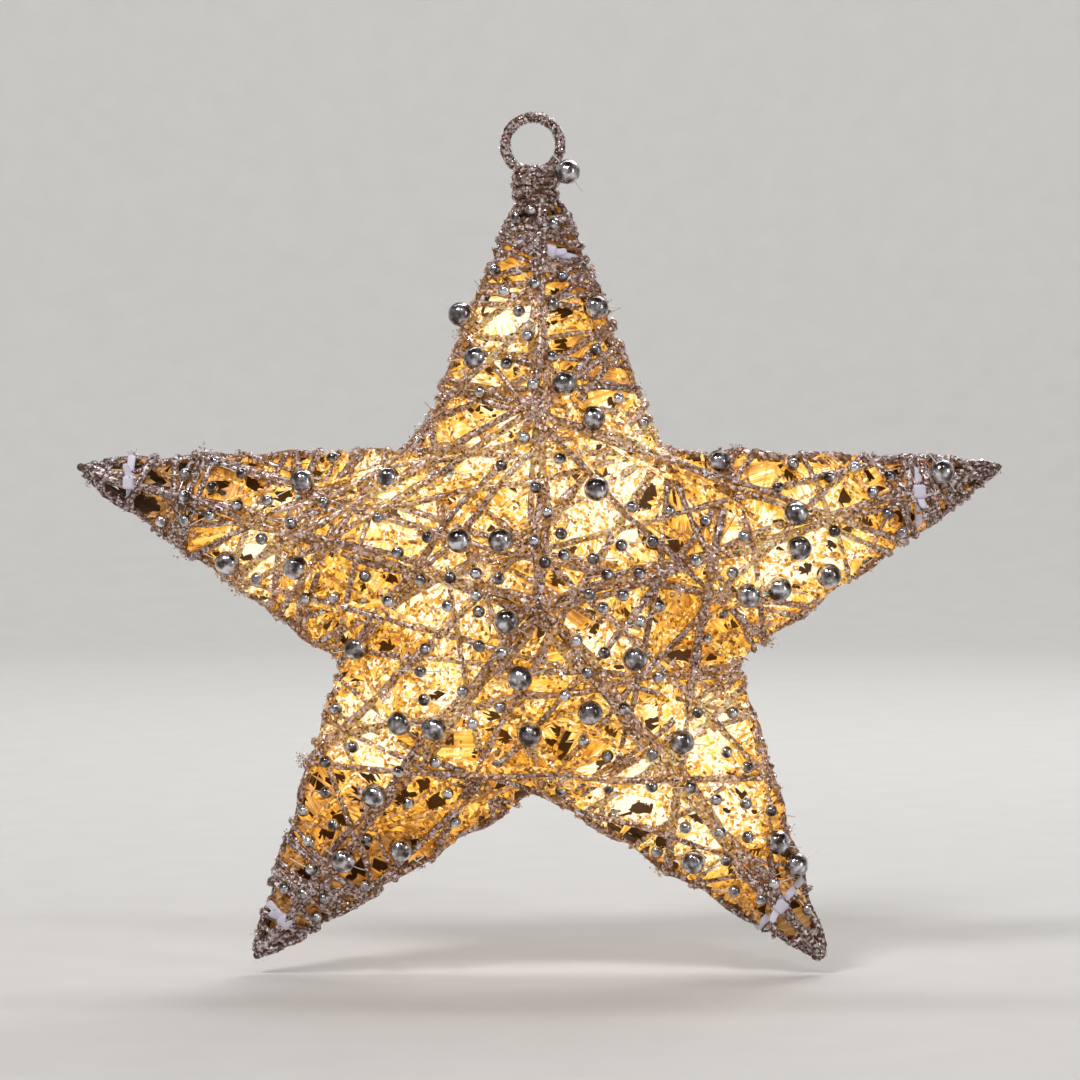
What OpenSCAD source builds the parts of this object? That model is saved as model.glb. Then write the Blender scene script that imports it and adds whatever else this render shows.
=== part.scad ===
// Lit hanging star: a wire frame wound with glitter cord, strung with beads, with an LED
// string inside and a battery box in its back. Millimetres, +Z up, the front faces -Y.
// The origin is the centre of the hanging loop's hole.

/* [Star] */
// Width of the frame across its two side tips
star_width = 293; // [280:1:310]
// Height of the star as a share of a regular star's height
height_ratio = 0.91; // [0.9:0.01:1]
// Radius of the notches as a share of the tip radius
notch_ratio = 0.41; // [0.4:0.01:0.43]
// Distance from the outline's plane to the front hub
front_depth = 32; // [30:1:36]

/* [Wires and cords] */
// Radius of the outline wire
outline_r = 1.0; // [0.8:0.1:1.2]
// Radius of the rib wires
rib_r = 0.8; // [0.6:0.1:1]
// Radius of the glitter cord
cord_r = 0.75; // [0.5:0.05:0.8]
// Turns of cord round a side or bottom arm
arm_turns = 13; // [10:1:15]

/* [Hanging loop] */
// Radius of the loop at the middle of its wire
loop_r = 8.8; // [8:0.1:9]
// Radius of the cord sleeve round the loop's wire
sleeve_r = 1.75; // [1.5:0.05:1.9]
// How far the loop stands left of the star's middle
loop_offset = 2; // [0:0.5:2]

/* [Beads] */
// Radius of a large bead
large_bead_r = 4; // [3.5:0.1:4.2]
// Radius of a small bead
small_bead_r = 2; // [1.5:0.1:2.1]

/* [Battery box] */
// Length of the case
case_l = 74; // [73:0.5:76]
// Height of the case
case_h = 35; // [35:0.5:37]
// Travel that takes the battery cover clear of its grooves
cover_travel = 58; // [20:1:60]

/* [Hidden] */
ARMS = ["top", "right", "lower_right", "lower_left", "left"];
$fn = 48;

arm_angle = 72;
half_angle = arm_angle / 2;
tip_r = star_width / 2 / sin(arm_angle);
notch_r = notch_ratio * tip_r;
notch_a = notch_r * cos(half_angle);
notch_w = notch_r * sin(half_angle);
loop_height = 146;

// Offset of a cord's middle from the middle of the wire it is wound on.
wind_r = outline_r + cord_r + 0.3;
wrap_start = notch_a + 5;
wrap_end = tip_r - 4;
neck_end = tip_r - 17;

// ---------- points on the star, with a along an arm, t across it and y its depth ----------
function arm_point(k, a, t, y) = [
    a * sin(arm_angle * k) + t * cos(arm_angle * k),
    y,
    height_ratio * (a * cos(arm_angle * k) - t * sin(arm_angle * k))];
// The top arm is cut short where the loop is welded on.
function tip(k) = arm_point(k, k == 0 ? tip_r - 4 : tip_r, 0, 0);
function notch(k) = arm_point(k, notch_a, notch_w, 0);
function half_width(a) = notch_w * (tip_r - a) / (tip_r - notch_a);
function front_rib_y(a) = -front_depth * (1 - a / tip_r);
function back_rib_y(k, a) = back_depth(k) * (1 - a / tip_r);

// The back ribs end on the cradle, so each has a slope of its own.
cradle_y = 25;
cradle_w = case_l / 2 + 3;
cradle_h = case_h / 2 + 2.6;
function cradle_a(k) = min(
    cradle_w / max(abs(sin(arm_angle * k)), 0.01),
    cradle_h / max(abs(height_ratio * cos(arm_angle * k)), 0.01));
function back_depth(k) = cradle_y / (1 - cradle_a(k) / tip_r);

// ---------- tubes swept along points ----------
function unit(v) = v / norm(v);
function tangents(p) = [for (i = [0:len(p) - 1])
    unit(p[min(i + 1, len(p) - 1)] - p[max(i - 1, 0)])];
function square_to(n, t) = unit(n - t * (n * t));
function first_normal(t) = square_to(abs(t.z) < 0.8 ? [0, 0, 1] : [1, 0, 0], t);
function normals(t) = [
    for (i = 0, n = first_normal(t[0]);
         i < len(t);
         i = i + 1, n = square_to(n, t[min(i, len(t) - 1)])) n];
function tube_points(p, r, sides) = let (t = tangents(p), n = normals(t))
    [for (i = [0:len(p) - 1], j = [0:sides - 1]) let (f = 360 * j / sides)
        p[i] + r * (cos(f) * n[i] + sin(f) * cross(t[i], n[i]))];
function tube_faces(rings, sides, first) = concat(
    [[for (j = [0:sides - 1]) first + j]],
    [for (i = [0:rings - 2], j = [0:sides - 1], half = [0, 1])
        let (a = first + i * sides + j,
             b = first + i * sides + (j + 1) % sides)
        half == 0 ? [a, a + sides, b] : [b, a + sides, b + sides]],
    [[for (j = [sides - 1:-1:0]) first + (rings - 1) * sides + j]]);

// Separate tubes along a list of paths of equal length, as one polyhedron.
module tubes(paths, r, sides = 6) {
    rings = len(paths[0]);
    polyhedron(
        points = [for (p = paths, q = tube_points(p, r, sides)) q],
        faces = [for (i = [0:len(paths) - 1], f = tube_faces(rings, sides, i * rings * sides)) f],
        convexity = 10);
}

module rod(p, q, r) {
    d = q - p;
    translate(p)
        rotate([0, acos(d.z / norm(d)), atan2(d.y, d.x)])
            cylinder(h = norm(d), r = r);
}

module rods(points, r) {
    for (i = [0:len(points) - 2]) rod(points[i], points[i + 1], r);
    for (p = points) translate(p) sphere(r = r + 0.3);
}

// ---------- frame ----------
module outline_wire() {
    corners = [for (k = [0:4], corner = [tip(k), notch(k)]) corner];
    color("dimgray") rods(concat(corners, [corners[0]]), outline_r);
}

module front_ribs() {
    hub = [0, -front_depth, 0];
    color("dimgray") {
        for (k = [0:4]) rod(hub, tip(k), rib_r);
        translate(hub) sphere(r = 2 * rib_r);
    }
}

module back_ribs() {
    color("dimgray")
        for (k = [0:4]) rod(arm_point(k, cradle_a(k), 0, cradle_y), tip(k), rib_r);
}

module box_cradle() {
    corners = [for (c = [[1, 1], [1, -1], [-1, -1], [-1, 1], [1, 1]])
        [c[0] * cradle_w, cradle_y, c[1] * cradle_h]];
    color("dimgray") rods(corners, rib_r);
}

// ---------- hanging loop and neck ----------
loop_wire_r = 1.1;
sleeve_angle = 300;

module at_loop() {
    translate([-loop_offset, 0, loop_height]) rotate([90, 0, 0]) children();
}

module hanging_loop() {
    color("gray") at_loop() rotate_extrude() translate([loop_r, 0]) circle(r = loop_wire_r);
}

module loop_sleeve() {
    color("rosybrown") at_loop()
        rotate([0, 0, 90 - sleeve_angle / 2])
            rotate_extrude(angle = sleeve_angle)
                translate([loop_r, 0]) difference() {
                    circle(r = sleeve_r);
                    circle(r = loop_wire_r + 0.05);
                }
}

neck_coil_r = 7;
neck_coil_turns = 4;
neck_coil_pitch = 1.9;
neck_coil_low = 129.3;
module neck_binding() {
    steps = 15;
    coil = [for (i = [0:neck_coil_turns * steps]) let (f = 360 * i / steps)
        [neck_coil_r * cos(f) - loop_offset / 4,
         neck_coil_r * sin(f),
         neck_coil_low + neck_coil_pitch * i / steps]];
    color("rosybrown") tubes([coil], 0.9, 8);
}

// ---------- glitter cord ----------
// The cord turns round the front rib, one edge, the back rib and the other edge of an arm.
function wrap_corner(k, c, a) =
    c == 0 ? [[a, 0, front_rib_y(a)], [0, 0, -1], [0, 1, 0]] :
    c == 1 ? [[a, half_width(a), 0], [0, 1, 0], [0, 0, 1]] :
    c == 2 ? [[a, 0, back_rib_y(k, a)], [0, 0, 1], [0, -1, 0]] :
             [[a, -half_width(a), 0], [0, -1, 0], [0, 0, -1]];
function wrap_path(k, from, to, turns) = [
    for (i = [0:4 * turns], side = [-1, 0, 1])
        let (a = from + (to - from) * (i + side / 6) / (4 * turns),
             corner = wrap_corner(k, i % 4, a),
             bend = side * (i % 2 == 0 ? 30 : 60),
             p = corner[0] + wind_r * (cos(bend) * corner[1] + sin(bend) * corner[2]))
        arm_point(k, p[0], p[1], p[2])];

module thread_wrap(k) {
    end = k == 0 ? neck_end : wrap_end;
    turns = k == 0 ? arm_turns - 2 : arm_turns;
    color("rosybrown") tubes([wrap_path(k, wrap_start, end, turns)], cord_r);
}

// A five-sided spiral of cord that lies on the ribs of one face of the body.
function web_corner(k, a, t, y) = arm_point(k, a - abs(t) * sin(half_angle) / cos(half_angle), t, y);
function web_path(from, pitch, turns, back) = [
    for (i = [0:5 * turns], t = [-2, 0, 2])
        let (k = i % 5, a = from + pitch * i / 5)
        web_corner(k, t == 0 ? a - 0.4 : a, t,
            back ? back_rib_y(k, a) + wind_r : front_rib_y(a) - wind_r)];

module front_web() {
    color("rosybrown") tubes([web_path(15, 5, 7, false)], cord_r);
}

module back_web() {
    color("rosybrown") tubes([web_path(53, 2, 2, true)], cord_r);
}

// ---------- straw panels that fill the facets between the wires ----------
straw_t = 0.3;
straw_inset = 2.6;

// A triangular sheet set back from the wires on all three of its sides.
module panel(p, q, r) {
    sides = [norm(q - r), norm(p - r), norm(p - q)];
    around = sides[0] + sides[1] + sides[2];
    middle = (sides[0] * p + sides[1] * q + sides[2] * r) / around;
    normal = cross(q - p, r - p);
    shrink = 1 - straw_inset * around / norm(normal);
    polyhedron(
        points = [for (h = [-straw_t / 2, straw_t / 2], v = [p, q, r])
            middle + shrink * (v - middle) + h * unit(normal)],
        faces = [[0, 1, 2], [3, 5, 4], [0, 3, 4, 1], [1, 4, 5, 2], [2, 5, 3, 0]]);
}

module straw_front() {
    hub = [0, -front_depth, 0];
    color("goldenrod")
        for (k = [0:4]) {
            panel(hub, tip(k), notch(k));
            panel(hub, notch((k + 4) % 5), tip(k));
        }
}

module straw_back() {
    color("goldenrod")
        for (k = [0:4]) {
            root = arm_point(k, notch_a + 3, 0, back_rib_y(k, notch_a + 3));
            panel(root, notch(k), tip(k));
            panel(root, tip(k), notch((k + 4) % 5));
        }
}

// ---------- cable ties near the tips ----------
tie_places = [tip_r - 30, tip_r - 27, tip_r - 23, tip_r - 16, tip_r - 17];
tie_w = 2.5;
tie_thick = 1.1;
tie_head = [4.6, 3.4, 4.6];
module cable_tie(k) {
    a = tie_places[k];
    half_y = -front_rib_y(a) + wind_r + cord_r + 0.6;
    half_t = half_width(a) + wind_r + cord_r + 0.8;
    straight = max(half_t - half_y, 0.5);
    lean = atan2(tip(k).x, tip(k).z);
    color("ghostwhite")
        translate(arm_point(k, a, 0, 0)) rotate([0, lean, 0])
            translate([0, 0, -tie_w / 2]) {
                for (side = [0, 1]) rotate([0, 0, 180 * side]) {
                    translate([straight, 0, 0]) rotate([0, 0, -90])
                        rotate_extrude(angle = 180)
                            translate([half_y, 0]) square([tie_thick, tie_w]);
                    translate([-straight, half_y, 0]) cube([2 * straight, tie_thick, tie_w]);
                }
                translate([-straight - tie_head[0], -half_y - tie_thick - tie_head[1] + 1.2,
                           (tie_w - tie_head[2]) / 2])
                    cube(tie_head);
                translate([-straight - 8, -half_y - tie_thick, 0]) cube([8, tie_thick, tie_w]);
            }
}

// ---------- beads ----------
// Places of the large beads on the front: across and up from the star's middle.
front_beads = [
    [-25, 92], [18, 94], [-20, 78], [8, 70], [17, 59], [18, 37], [-12, 21], [-25, 21],
    [57, 45], [81, 29], [82, 18], [66, 3], [76, 5], [92, 9], [128, 42],
    [30, -16], [16, -33], [45, -43], [49, -82], [76, -76], [82, -83.5],
    [-3, -40], [-33, -38], [-44, -37], [-52, -60], [-62, -81], [-44, -78],
    [-58, -14], [-77, 12], [-99, 13], [-48, 40], [-75, 39], [-10, -4], [-6, -22]];
back_beads = [
    [-14, 96], [9, 80], [-12, 60], [60, 40], [88, 30], [74, 8], [112, 34], [62, -12],
    [34, -50], [52, -64], [66, -92], [-30, -46], [-50, -70], [-72, -88],
    [-62, 36], [-84, 18], [-112, 30], [-60, -4], [20, 47]];

function nearest_arm(x, z) = round(atan2(x, z / height_ratio) / arm_angle);
// The place [x, z] as [arm, a, t].
function on_arm(p) = let (
    k = nearest_arm(p[0], p[1]),
    u = p[0],
    v = p[1] / height_ratio,
    s = sin(arm_angle * k),
    c = cos(arm_angle * k))
    [(k + 5) % 5, u * s + v * c, u * c - v * s];
// Depth of the wound surface under a place, measured out from the outline's plane.
function surface_depth(m, depth) = let (
    t = abs(m[2]),
    rib_a = m[1] + t * tan(half_angle),
    web = depth * (1 - rib_a / tip_r),
    facet = depth * (1 - m[1] / tip_r - t * (1 - notch_a / tip_r) / notch_w))
    rib_a < 56 ? web : facet;
// The middle of a bead of radius r that rests on the cord over a place.
function bead_place(p, r, back) = let (
    m = on_arm(p),
    clear = wind_r + cord_r + r + 0.1,
    beyond = abs(m[2]) - half_width(m[1]),
    depth = surface_depth(m, back ? back_depth(m[0]) : front_depth),
    y = beyond > 0 && m[1] > notch_a ? sqrt(max(0.04, clear ^ 2 - beyond ^ 2)) :
        max(0, depth) + clear * 1.18)
    [p[0], back ? y : -y, p[1]];

// Small beads follow an even, unrepeating pattern in each arm.
function part_of_one(x) = x - floor(x);
function spread_places(count, shift) = [
    for (k = [0:4], i = [1:count])
        let (u = part_of_one(shift + i * 0.7549 + k * 0.31),
             v = part_of_one(shift + i * 0.5698 + k * 0.17),
             a = 14 + (tip_r - 30) * u,
             reach = a < notch_a ? a * tan(half_angle) - 3 : half_width(a) + 1,
             q = arm_point(k, a, (2 * v - 1) * max(reach, 2), 0))
        if (abs(a - tie_places[k]) > 5.5) [q.x, q.z]];
// They keep off the large beads, with their line, and off each other.
function small_places(big, count, shift) = let (all = spread_places(count, shift)) [
    for (i = [0:len(all) - 1])
        let (q = all[i],
             earlier = [for (j = [0:i]) j == i ? 99 : norm(q - all[j])])
        if (min([for (b = big) norm(q - b)]) > large_bead_r + small_bead_r + 3
            && min(earlier) > 2 * small_bead_r + 1) q];
front_small = small_places(front_beads, 42, 0.2);
back_small = [for (p = small_places(back_beads, 20, 0.6))
    if (abs(p[0]) > cradle_w + 3 || abs(p[1]) > cradle_h + 3)
        let (m = on_arm(p)) if (m[1] + abs(m[2]) * tan(half_angle) > 62) p];

// A bead with its hole along X.
module bead(r, hole_r) {
    rotate([0, 90, 0]) rotate_extrude() difference() {
        circle(r = r);
        translate([hole_r - 2 * r, -r]) square(2 * r);
    }
}

module large_beads() {
    color("silver") {
        for (p = front_beads) translate(bead_place(p, large_bead_r, false)) bead(large_bead_r, 0.6);
        for (p = back_beads) translate(bead_place(p, large_bead_r, true)) bead(large_bead_r, 0.6);
        translate([9, -8.5, 137]) bead(large_bead_r, 0.6);
    }
}

module small_beads() {
    color("silver") {
        for (p = front_small) translate(bead_place(p, small_bead_r, false)) bead(small_bead_r, 0.45);
        for (p = back_small) translate(bead_place(p, small_bead_r, true)) bead(small_bead_r, 0.45);
    }
}

module bead_line() {
    line = 2 * large_bead_r + 4.8;
    color("whitesmoke") {
        for (p = front_beads)
            translate(bead_place(p, large_bead_r, false))
                rotate([0, 90, 0]) cylinder(h = line, r = 0.2, center = true);
        for (p = back_beads)
            translate(bead_place(p, large_bead_r, true))
                rotate([0, 90, 0]) cylinder(h = line, r = 0.2, center = true);
    }
}

// ---------- LED string ----------
// Middles of the lamps in order along the string, and the way each lamp points.
lamps = [
    [[12, -4, -9], [1, -0.4, -1]], [[-25, -6, -29], [-1, -0.3, -0.6]],
    [[-54, 0, -47], [-0.3, -0.2, 1]], [[-24, -8, 0], [-0.6, -0.4, 1]],
    [[-84, 1, 20], [-1, -0.3, -0.2]], [[-42, -3, 33], [-0.8, -0.2, 0.3]],
    [[-6, -7, 42], [-0.6, -0.5, 1]], [[-11, 0, 84], [0, -0.3, 1]],
    [[27, 0, 42], [-0.2, 0, 1]], [[17, -8, 24], [0.6, -0.6, 1]],
    [[66, -3, 16], [0.8, -0.4, -0.4]], [[90, 1, 24], [1, -0.3, 0.2]],
    [[51, -2, -39], [0.6, -0.3, -0.8]], [[57, 1, -68], [0.5, -0.3, -1]],
    [[33, 0, -55], [-0.4, -0.4, -1]]];
bulb_r = 2.5;
socket_r = 3.0;
socket_l = 12;
string_r = 0.6;

module at_lamp(lamp) {
    d = unit(lamp[1]);
    translate(lamp[0]) rotate([0, acos(d.z), atan2(d.y, d.x)]) children();
}

module led_bulbs() {
    color("moccasin") for (lamp = lamps) at_lamp(lamp) {
        cylinder(h = 6, r = bulb_r);
        translate([0, 0, 6]) sphere(r = bulb_r);
    }
}

module led_sockets() {
    color("white") for (lamp = lamps) at_lamp(lamp)
        difference() {
            translate([0, 0, 3 - socket_l]) cylinder(h = socket_l, r = socket_r);
            translate([0, 0, -0.05]) cylinder(h = 4, r = bulb_r + 0.05);
        }
}

// Each length of wire leaves one socket's tail and bends round into the next one's.
function tail(lamp, side) = let (d = unit(lamp[1]))
    lamp[0] - d * (socket_l - 3 + 0.1) + side * 1.2 * square_to([0.3, 1, 0.1], d);
function bezier(p, s) = (1 - s) ^ 3 * p[0] + 3 * s * (1 - s) ^ 2 * p[1]
    + 3 * s ^ 2 * (1 - s) * p[2] + s ^ 3 * p[3];
function wire_between(from, way_out, to, way_in, sweep) = [
    for (i = [0:9]) bezier([from, from + sweep[0] * way_out, to + sweep[1] * way_in, to], i / 9)];
// How far each length runs on straight from its two ends before it bends away.
sweeps = [
    [2, 3], [6, 2], [18, 15], [12, 5], [18, 3], [2, 18], [2, 10], [15, 2],
    [3, 18], [3, 15], [10, 3], [12, 2], [2, 18], [18, 2], [2, 8]];
grommet_tip = [-29, 9, 0];

module string_wire() {
    links = concat(
        [wire_between(grommet_tip - [0, 0.1, 0], [0, -0.6, 0],
            tail(lamps[0], -1), -unit(lamps[0][1]), sweeps[0])],
        [for (i = [0:len(lamps) - 2]) wire_between(
            tail(lamps[i], 1), -unit(lamps[i][1]),
            tail(lamps[i + 1], -1), -unit(lamps[i + 1][1]), sweeps[i + 1])]);
    color("goldenrod") tubes(links, string_r);
}

// ---------- battery box ----------
wall = 1.6;
rail_wall = 2.4;
case_front = 15;
case_back = 34;
floor_y = case_front + wall;
bay_left = -case_l / 2 + 16;
bay_right = case_l / 2 - wall;
inner_h = case_h / 2 - rail_wall;
groove_low = 31.4;
groove_high = 33.1;
screw_x = -case_l / 2 + 8;
screw_z = 12.2;
lug_x = 26;

// A box between two corners.
module block(low, high) {
    translate(low) cube(high - low);
}

module battery_case() {
    color("ivory") difference() {
        union() {
            block([-case_l / 2, case_front, -case_h / 2], [case_l / 2, case_back, case_h / 2]);
            for (x = [-lug_x, lug_x], side = [-1, 1])
                block([x - 3, cradle_y - 2.2, min(0, side * (cradle_h + 2))],
                      [x + 3, cradle_y + 2.2, max(0, side * (cradle_h + 2))]);
        }
        block([bay_left, floor_y, -inner_h], [bay_right, case_back + 1, inner_h]);
        block([-case_l / 2 + wall, floor_y, -inner_h],
              [bay_left - wall, case_back + 1, inner_h]);
        // the deck's seat
        block([-case_l / 2 + wall, case_back - 2, -inner_h - 0.8],
              [bay_left - wall, case_back + 1, inner_h + 0.8]);
        // grooves and the cover's way out
        block([bay_left - 0.1, groove_low, -inner_h - 1],
              [case_l / 2 + 1, groove_high, inner_h + 1]);
        block([bay_right - 0.1, groove_low, -inner_h],
              [case_l / 2 + 1, case_back + 1, inner_h]);
        // clips for the cradle's wires
        for (side = [-1, 1]) {
            translate([0, cradle_y, side * cradle_h]) rotate([0, 90, 0])
                cylinder(h = case_l, r = rib_r + 0.1, center = true);
            block([-case_l / 2, cradle_y - 0.7, min(side * cradle_h, side * (cradle_h + 3))],
                  [case_l / 2, cradle_y + 0.7, max(side * cradle_h, side * (cradle_h + 3))]);
        }
        translate([grommet_tip.x, case_front - 1, 0]) rotate([-90, 0, 0])
            cylinder(h = wall + 2, r = 1.9);
    }
    color("ivory") for (side = [-1, 1]) {
        translate([screw_x, floor_y - 0.1, side * screw_z]) rotate([-90, 0, 0])
            difference() {
                cylinder(h = case_back - 2 - floor_y + 0.1, r = 2.2);
                translate([0, 0, 5]) cylinder(h = 20, r = 0.85);
            }
        block([screw_x - 5, floor_y - 0.1, side * 8 - 0.8], [screw_x - 3, 23.9, side * 8 + 0.8]);
        block([screw_x + 3, floor_y - 0.1, side * 8 - 0.8], [screw_x + 5, 23.9, side * 8 + 0.8]);
    }
    color("ivory") block([bay_left - 0.1, floor_y - 0.1, -0.3], [bay_right + 0.1, 19, 0.3]);
}

module battery_cover() {
    tongue = inner_h + 0.85;
    panel = inner_h - 0.25;
    color("ivory") difference() {
        union() {
            block([bay_left + 0.1, groove_low + 0.1, -tongue], [case_l / 2, groove_high - 0.1, tongue]);
            block([bay_left + 0.1, groove_high - 0.2, -panel], [case_l / 2, case_back, panel]);
        }
        for (i = [0:5])
            block([case_l / 2 - 16 + 2 * i, case_back - 0.5, -7],
                  [case_l / 2 - 15 + 2 * i, case_back + 1, 7]);
    }
}

slot_half = 3.6;
module switch_deck() {
    color("ivory") difference() {
        block([-case_l / 2 + wall + 0.1, case_back - 2, -inner_h - 0.7],
              [bay_left - wall - 0.1, case_back, inner_h + 0.7]);
        block([screw_x - 1.3, case_back - 3, -slot_half], [screw_x + 1.3, case_back + 1, slot_half]);
        block([screw_x - 3, case_back - 0.8, -slot_half - 1.5],
              [screw_x + 3, case_back + 1, slot_half + 1.5]);
        for (side = [-1, 1]) translate([screw_x, case_back - 3, side * screw_z]) rotate([-90, 0, 0]) {
            cylinder(h = 4, r = 1.15);
            translate([0, 0, 2.0]) cylinder(h = 4, r = 2.1);
        }
    }
}

module deck_screws() {
    color("silver") for (side = [-1, 1])
        translate([screw_x, case_back - 1, side * screw_z]) rotate([-90, 0, 0]) difference() {
            union() {
                translate([0, 0, -7]) cylinder(h = 7.1, r = 0.8);
                cylinder(h = 0.9, r = 1.9);
            }
            for (turn = [0, 90]) rotate([0, 0, turn])
                translate([-1.2, -0.2, 0.4]) cube([2.4, 0.4, 1]);
        }
}

board_y = 24;
module timer_board() {
    color("seagreen") block([screw_x - 5.8, board_y, -9.5], [screw_x + 5.8, board_y + 1.2, 9.5]);
}

module timer_chip() {
    color("black") block([screw_x - 2, board_y - 1.6, -3], [screw_x + 2, board_y - 0.02, 3]);
}

module switch_body() {
    color("silver") difference() {
        block([screw_x - 2.2, board_y + 1.22, -5], [screw_x + 2.2, board_y + 5.7, 5]);
        block([screw_x - 1.3, board_y + 3, -4.2], [screw_x + 1.3, board_y + 6, 4.2]);
    }
}

module switch_slider() {
    color("black") difference() {
        union() {
            block([screw_x - 1.2, board_y + 3.1, -2], [screw_x + 1.2, case_back - 2.2, 2]);
            block([screw_x - 1.1, board_y + 5, -1.4], [screw_x + 1.1, case_back - 0.1, 1.4]);
        }
        for (z = [-0.6, 0, 0.6])
            block([screw_x - 2, case_back - 0.4, z - 0.12], [screw_x + 2, case_back, z + 0.12]);
    }
}

module lead_grommet() {
    color("dimgray") translate([grommet_tip.x, 0, 0]) rotate([-90, 0, 0]) difference() {
        union() {
            translate([0, 0, grommet_tip.y]) cylinder(h = case_front - grommet_tip.y, r1 = 1.3, r2 = 1.8);
            translate([0, 0, case_front - 0.01]) cylinder(h = wall + 0.1, r = 1.8);
            translate([0, 0, floor_y + 0.05]) cylinder(h = 0.9, r = 2.8);
        }
        translate([0, 0, grommet_tip.y - 1]) cylinder(h = 12, r = 0.7);
    }
}

cell_r = 7.2;
cell_l = 50.5;
nub_l = 1.4;
cell_y = floor_y + 0.25 + cell_r;
cell_z = cell_r + 0.45;
plate_t = 0.4;
nub_face = plate_t + 0.02;

// One cell with its nub at the right-hand end of the bay.
module cell() {
    rotate([0, 90, 0]) {
        cylinder(h = cell_l - nub_l, r = cell_r);
        translate([0, 0, cell_l - nub_l - 0.1]) cylinder(h = nub_l + 0.1, r = 2.7);
    }
}

module battery_cells() {
    color("steelblue") {
        translate([bay_right - nub_face - cell_l, cell_y, cell_z]) cell();
        translate([bay_left + nub_face + cell_l, cell_y, -cell_z]) rotate([0, 0, 180]) cell();
    }
}

module contact_plates() {
    color("lightgray") {
        for (side = [-1, 1])
            block([bay_left + 0.01, floor_y + 2, side * cell_z - 5],
                  [bay_left + plate_t, floor_y + 13, side * cell_z + 5]);
        block([bay_right - plate_t, floor_y + 2, -cell_z - 5],
              [bay_right - 0.01, floor_y + 13, cell_z + 5]);
    }
}

spring_turns = 4;
function spring_path(length) = [for (i = [0:12 * spring_turns]) let (s = i / (12 * spring_turns))
    [0.35 + (length - 0.7) * s, (4.6 - 1.6 * s) * cos(30 * i), (4.6 - 1.6 * s) * sin(30 * i)]];
module contact_springs() {
    length = bay_right - bay_left - cell_l - plate_t - nub_face - 0.05;
    left = [for (p = spring_path(length)) [bay_left + plate_t + p.x, cell_y + p.y, cell_z + p.z]];
    right = [for (p = spring_path(length)) [bay_right - plate_t - p.x, cell_y + p.y, -cell_z - p.z]];
    color("lightgray") tubes([left, right], 0.3);
}

// ---------- the assembly, hung with its loop at the origin ----------
module hang() {
    translate([loop_offset, 0, -loop_height]) children();
}

hang() {
    outline_wire();
    front_ribs();
    back_ribs();
    box_cradle();
    hanging_loop();
    loop_sleeve();
    neck_binding();
    for (k = [0:4]) {
        thread_wrap(k);
        cable_tie(k);
    }
    front_web();
    back_web();
    straw_front();
    straw_back();
    large_beads();
    small_beads();
    bead_line();
    led_bulbs();
    led_sockets();
    string_wire();
    lead_grommet();
    battery_case();
    battery_cover();
    switch_deck();
    deck_screws();
    switch_body();
    switch_slider();
    timer_board();
    timer_chip();
    battery_cells();
    contact_plates();
    contact_springs();
}
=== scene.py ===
"""Looks of the lit hanging star: cord, straw, glitter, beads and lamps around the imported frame."""

import math

import bpy
import numpy as np
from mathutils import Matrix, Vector
from mathutils.kdtree import KDTree


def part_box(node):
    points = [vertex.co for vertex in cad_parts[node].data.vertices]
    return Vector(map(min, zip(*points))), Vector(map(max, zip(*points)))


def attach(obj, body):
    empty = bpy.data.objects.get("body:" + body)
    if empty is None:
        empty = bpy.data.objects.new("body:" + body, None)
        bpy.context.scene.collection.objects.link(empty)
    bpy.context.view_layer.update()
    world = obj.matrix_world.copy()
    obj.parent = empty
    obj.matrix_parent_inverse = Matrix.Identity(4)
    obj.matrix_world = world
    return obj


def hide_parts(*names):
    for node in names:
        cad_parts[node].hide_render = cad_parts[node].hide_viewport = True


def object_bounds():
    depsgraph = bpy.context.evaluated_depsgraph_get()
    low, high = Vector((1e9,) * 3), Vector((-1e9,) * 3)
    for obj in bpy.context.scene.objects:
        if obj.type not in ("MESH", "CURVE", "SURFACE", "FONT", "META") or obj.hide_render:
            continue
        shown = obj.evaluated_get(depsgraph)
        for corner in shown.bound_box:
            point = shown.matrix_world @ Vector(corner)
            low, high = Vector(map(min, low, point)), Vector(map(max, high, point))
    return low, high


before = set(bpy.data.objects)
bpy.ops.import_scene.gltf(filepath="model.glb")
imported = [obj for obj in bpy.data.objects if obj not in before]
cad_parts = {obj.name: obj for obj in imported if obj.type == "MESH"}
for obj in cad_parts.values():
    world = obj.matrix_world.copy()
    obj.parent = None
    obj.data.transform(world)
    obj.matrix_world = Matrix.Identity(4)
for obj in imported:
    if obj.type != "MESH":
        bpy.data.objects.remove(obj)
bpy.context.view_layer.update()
rng = np.random.default_rng(11)
MM = 0.001    # metres in a millimetre
scene = bpy.context.scene

# ---------------------------------------------------------------- the star's own measures, in mm
# (u, v) is a place on the flat star with its hub at (0, 0), before the height is scaled.
# (k, a, t) is the same place on arm k, a along the arm from the hub and t across it.

def box_mm(node):
    low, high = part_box(node)
    return np.array(low) / MM, np.array(high) / MM


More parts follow.
